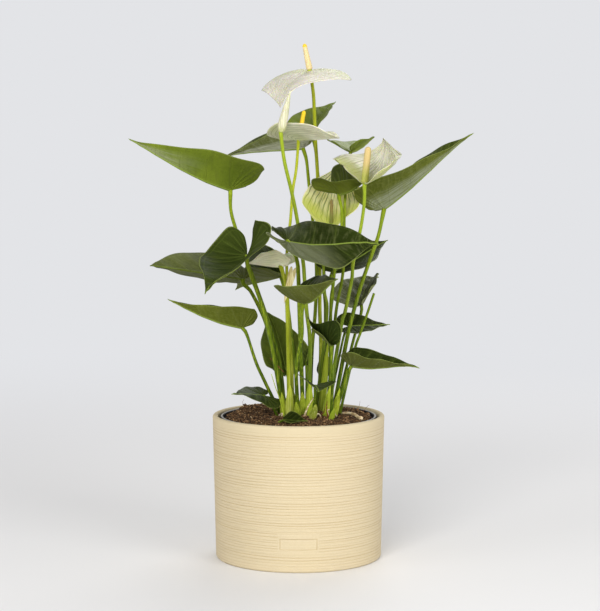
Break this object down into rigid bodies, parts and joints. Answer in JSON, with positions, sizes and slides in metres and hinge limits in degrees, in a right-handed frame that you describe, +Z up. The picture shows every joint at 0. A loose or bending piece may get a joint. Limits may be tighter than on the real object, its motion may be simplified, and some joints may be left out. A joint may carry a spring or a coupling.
{
  "type": "potted anthurium",
  "caption": "Heart-leaved flowering plant with cream spathes and upright spadices, growing in soil in a black nursery pot set inside a straight ridged cream cover pot.",
  "frame": {"origin": "centre of the cover pot's flat underside", "axes": "+Z up along the pot's axis, -Y towards the viewer in the picture, +X to the right in the picture"},
  "size_m": [0.2924, 0.2535, 0.4481],
  "materials": {
    "matte_cream": "unglazed cream stoneware, matte, fine ridges",
    "black_plastic": "thin black plastic, slightly glossy",
    "potting_soil": "moist peat and bark, matte",
    "leaf_green": "living leaf, dark green, satin",
    "stem_green": "living stem, light green, satin",
    "spathe_cream": "living bract, cream, satin",
    "spathe_green": "living bract, faded green, satin",
    "spadix_cream": "flower spike, cream, finely bumpy",
    "spadix_yellow": "flower spike, yellow, finely bumpy",
    "dry_bract": "dry papery sheath, matte",
    "pale_root": "root, pale, matte"
  },
  "bodies": {
    "root": {"cover_pot": "matte_cream", "nursery_pot": "black_plastic", "soil": "potting_soil", "leaf_01": "leaf_green", "leaf_02": "leaf_green", "leaf_03": "leaf_green", "leaf_04": "leaf_green", "leaf_05": "leaf_green", "leaf_06": "leaf_green", "leaf_07": "leaf_green", "leaf_08": "leaf_green", "leaf_09": "leaf_green", "leaf_10": "leaf_green", "leaf_11": "leaf_green", "leaf_12": "leaf_green", "leaf_13": "leaf_green", "leaf_14": "leaf_green", "leaf_15": "leaf_green", "leaf_16": "leaf_green", "leaf_17": "leaf_green", "leaf_18": "leaf_green", "leaf_19": "leaf_green", "leaf_20": "leaf_green", "leaf_21": "leaf_green", "leaf_22": "leaf_green", "leaf_23": "leaf_green", "bloom_1_stem": "stem_green", "bloom_1_spathe": "spathe_cream", "bloom_1_spadix": "spadix_cream", "bloom_2_stem": "stem_green", "bloom_2_spathe": "spathe_cream", "bloom_2_spadix": "spadix_yellow", "bloom_3_stem": "stem_green", "bloom_3_spathe": "spathe_cream", "bloom_3_spadix": "spadix_yellow", "bloom_4_stem": "stem_green", "bloom_4_spathe": "spathe_green", "bloom_4_spadix": "spadix_cream", "bloom_5_stem": "stem_green", "bloom_5_spathe": "spathe_cream", "bloom_5_spadix": "spadix_cream", "bud_stem": "stem_green", "bud_spathe": "spathe_cream", "cut_stem": "stem_green", "bract": "dry_bract", "aerial_root": "pale_root"}
  },
  "joints": []
}
